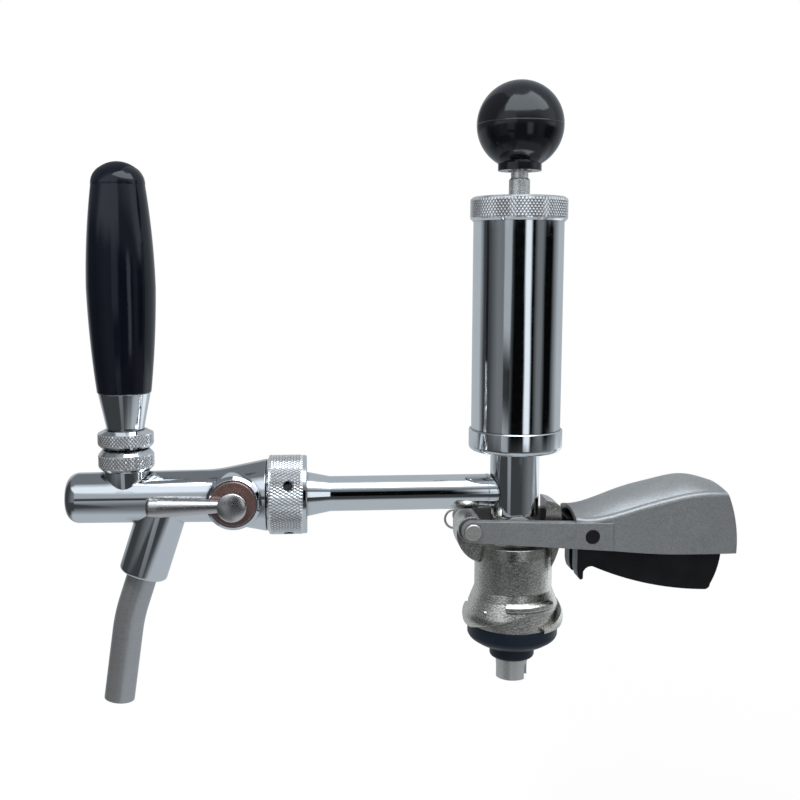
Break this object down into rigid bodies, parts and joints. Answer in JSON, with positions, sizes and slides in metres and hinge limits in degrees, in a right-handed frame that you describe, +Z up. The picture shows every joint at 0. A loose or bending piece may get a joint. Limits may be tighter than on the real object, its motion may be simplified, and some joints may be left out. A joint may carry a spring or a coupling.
{
  "type": "keg party pump",
  "caption": "Hand pump for a keg: a lever coupler with probe, an air pump with a ball knob above it, and a tap with flow lever, handle and bent spout on a long shank.",
  "frame": {"origin": "on the column's axis, at the underside of the keg seal, where the seal meets the keg's neck", "axes": "+Z up along the pump's column, +X towards the end of the coupler's lever, -X along the shank towards the tap"},
  "size_m": [0.3132, 0.0502, 0.2887],
  "materials": {
    "chrome": "polished plating",
    "cast_nickel": "sand cast, nickel plated",
    "brushed_steel": "brushed",
    "brass_insert": "turned",
    "lever_grey": "matte cast",
    "black_gloss": "polished",
    "black_plastic": "satin",
    "seal_rubber": "smooth"
  },
  "bodies": {
    "coupler": {"coupler_body": "cast_nickel", "keg_seal": "seal_rubber", "pivot_pin": "brushed_steel"},
    "safety_ring": {"split_ring": "brushed_steel"},
    "column": {"probe": "brushed_steel", "probe_seal": "seal_rubber", "probe_rings": "seal_rubber", "trunnion_pins": "brushed_steel", "ball_pin": "brushed_steel", "beer_tube": "brushed_steel", "stem": "chrome", "shank": "chrome", "pump_base": "chrome", "air_valve": "seal_rubber", "barrel_gasket": "seal_rubber", "barrel": "chrome", "pump_cap": "chrome", "rod_bush": "black_plastic", "coupling_nut": "chrome", "inlet_washer": "seal_rubber", "tap_body": "chrome", "valve_seat": "brushed_steel", "spout_ring": "seal_rubber", "spout_tube": "brushed_steel", "lever_collar": "chrome", "lever_seat": "black_plastic", "gland": "brushed_steel", "gland_ring": "seal_rubber"},
    "check_ball": {"check_ball": "chrome"},
    "plunger": {"pump_rod": "brushed_steel", "ball_knob": "black_gloss", "knob_insert": "brass_insert", "piston_plate": "brushed_steel", "piston_cup": "seal_rubber", "piston_nut": "brushed_steel"},
    "lever": {"lever_handle": "lever_grey", "trigger_pin": "black_plastic", "trigger_spring": "brushed_steel"},
    "trigger": {"trigger": "black_plastic"},
    "tap_handle": {"handle_lever": "brushed_steel", "jam_nut": "chrome", "handle_ferrule": "chrome", "tap_grip": "black_gloss"},
    "valve": {"valve_piston": "brushed_steel", "valve_seal": "seal_rubber"},
    "compensator_lever": {"compensator_lever": "brushed_steel"},
    "compensator_cone": {"compensator_cone": "black_plastic"}
  },
  "joints": [
    {"name": "probe_slide", "type": "slide", "parent": "coupler", "child": "column", "axis": [0, 0, 1], "range_m": [0, 0.0135]},
    {"name": "lever_swing", "type": "hinge", "parent": "coupler", "child": "lever", "pos_m": [-0.0224, 0, 0.0593], "axis": [0, -1, 0], "range_deg": [0, 32]},
    {"name": "trigger_squeeze", "type": "hinge", "parent": "lever", "child": "trigger", "pos_m": [0.0341, 0, 0.0561], "axis": [0, -1, 0], "range_deg": [0, 8], "stiffness_Nm_per_rad": 0.15, "springref_deg": -20.05},
    {"name": "ring_swing", "type": "hinge", "parent": "coupler", "child": "safety_ring", "pos_m": [-0.0224, 0.0196, 0.0593], "axis": [0.5736, 0, -0.8192], "range_deg": [0, 90]},
    {"name": "check_ball_lift", "type": "slide", "parent": "column", "child": "check_ball", "axis": [0, 0, 1], "range_m": [0, 0.0025]},
    {"name": "pump_stroke", "type": "slide", "parent": "column", "child": "plunger", "axis": [0, 0, 1], "range_m": [0, 0.085]},
    {"name": "tap_handle_tilt", "type": "hinge", "parent": "column", "child": "tap_handle", "pos_m": [-0.1816, 0, 0.0885], "axis": [0, -1, 0], "range_deg": [0, 14]},
    {"name": "valve_slide", "type": "slide", "parent": "column", "child": "valve", "axis": [1, 0, 0], "range_m": [0, 0.0033]},
    {"name": "compensator_turn", "type": "hinge", "parent": "column", "child": "compensator_lever", "pos_m": [-0.132, -0.02, 0.075], "axis": [0, 1, 0], "range_deg": [-60, 60]},
    {"name": "cone_slide", "type": "slide", "parent": "column", "child": "compensator_cone", "axis": [1, 0, 0], "range_m": [-0.0026, 0.0026]}
  ],
  "couplings": [
    {"joint": "lever_swing", "follows": "probe_slide", "rad_per_m": 41.307},
    {"joint": "valve_slide", "follows": "tap_handle_tilt", "m_per_rad": 0.013367},
    {"joint": "cone_slide", "follows": "compensator_turn", "m_per_rad": 0.002481}
  ]
}
